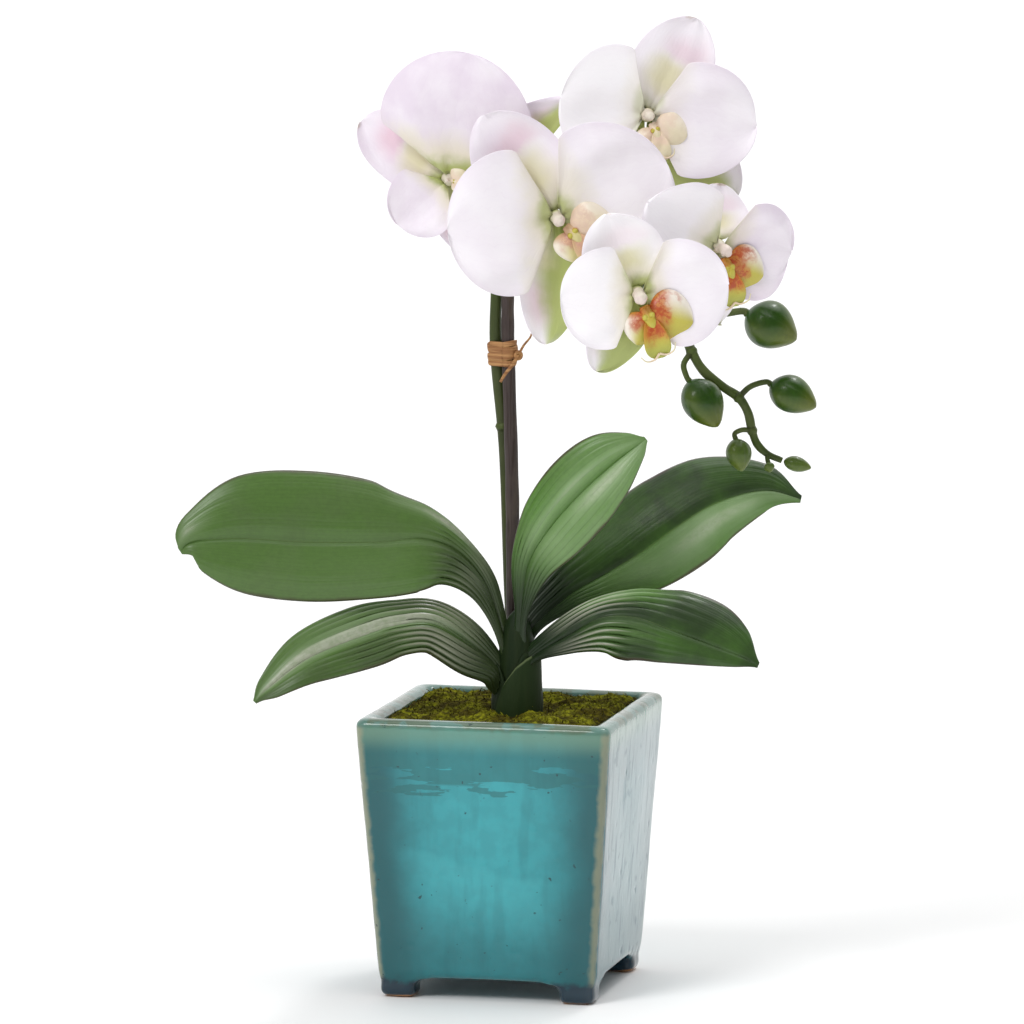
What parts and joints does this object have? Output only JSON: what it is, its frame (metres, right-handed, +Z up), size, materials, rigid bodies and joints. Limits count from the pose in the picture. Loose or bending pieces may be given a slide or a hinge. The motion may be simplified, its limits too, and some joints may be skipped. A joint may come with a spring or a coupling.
{
  "type": "potted orchid",
  "caption": "Potted moth orchid: strap leaves round a crown, a staked arching spike of white blooms and green buds, in a square tapered glazed pot on corner feet.",
  "frame": {"origin": "centre of the whole plant's plan outline, at the level of the soles of the pot's feet", "axes": "+Z up; X and Y along the sides of the square pot, -Y out of its front face, +X to the right of someone facing that front"},
  "size_m": [0.3002, 0.1538, 0.4768],
  "materials": {
    "pot_glaze": "glossy turquoise crackle-free glaze breaking tan on the edges",
    "medium": "dark bark chips",
    "moss": "dry olive cushion moss",
    "crown": "dark green, satin",
    "leaf": "deep green, satin",
    "stem": "olive green, satin",
    "stake": "dark stained cane",
    "raffia": "tan raffia, matte",
    "petal": "white with a lilac cast, soft matte",
    "sepal": "white with a pink and lime base, soft matte",
    "lip": "yellow green veined with red, soft satin",
    "column": "white, satin",
    "bud": "green, satin"
  },
  "bodies": {
    "root": {"bud_hanging": "bud", "bud_large": "bud", "bud_outer": "bud", "bud_small": "bud", "bud_tiny": "bud", "bud_tip": "bud", "crown": "crown", "flower_a_column": "column", "flower_a_dorsal": "sepal", "flower_a_lip": "lip", "flower_a_petal_l": "petal", "flower_a_petal_r": "petal", "flower_a_sepal_l": "sepal", "flower_a_sepal_r": "sepal", "flower_b_column": "column", "flower_b_dorsal": "sepal", "flower_b_lip": "lip", "flower_b_petal_l": "petal", "flower_b_petal_r": "petal", "flower_b_sepal_l": "sepal", "flower_b_sepal_r": "sepal", "flower_d_column": "column", "flower_d_dorsal": "sepal", "flower_d_lip": "lip", "flower_d_petal_l": "petal", "flower_d_petal_r": "petal", "flower_d_sepal_l": "sepal", "flower_d_sepal_r": "sepal", "flower_e_column": "column", "flower_e_dorsal": "sepal", "flower_e_lip": "lip", "flower_e_petal_l": "petal", "flower_e_petal_r": "petal", "flower_e_sepal_l": "sepal", "flower_e_sepal_r": "sepal", "flower_f_column": "column", "flower_f_dorsal": "sepal", "flower_f_lip": "lip", "flower_f_petal_l": "petal", "flower_f_petal_r": "petal", "flower_f_sepal_l": "sepal", "flower_f_sepal_r": "sepal", "flower_spike": "stem", "growing_medium": "medium", "leaf_centre": "leaf", "leaf_left_lower": "leaf", "leaf_left_upper": "leaf", "leaf_right_lower": "leaf", "leaf_right_upper": "leaf", "moss": "moss", "pot": "pot_glaze", "raffia_tie": "raffia", "stake": "stake"}
  },
  "joints": []
}
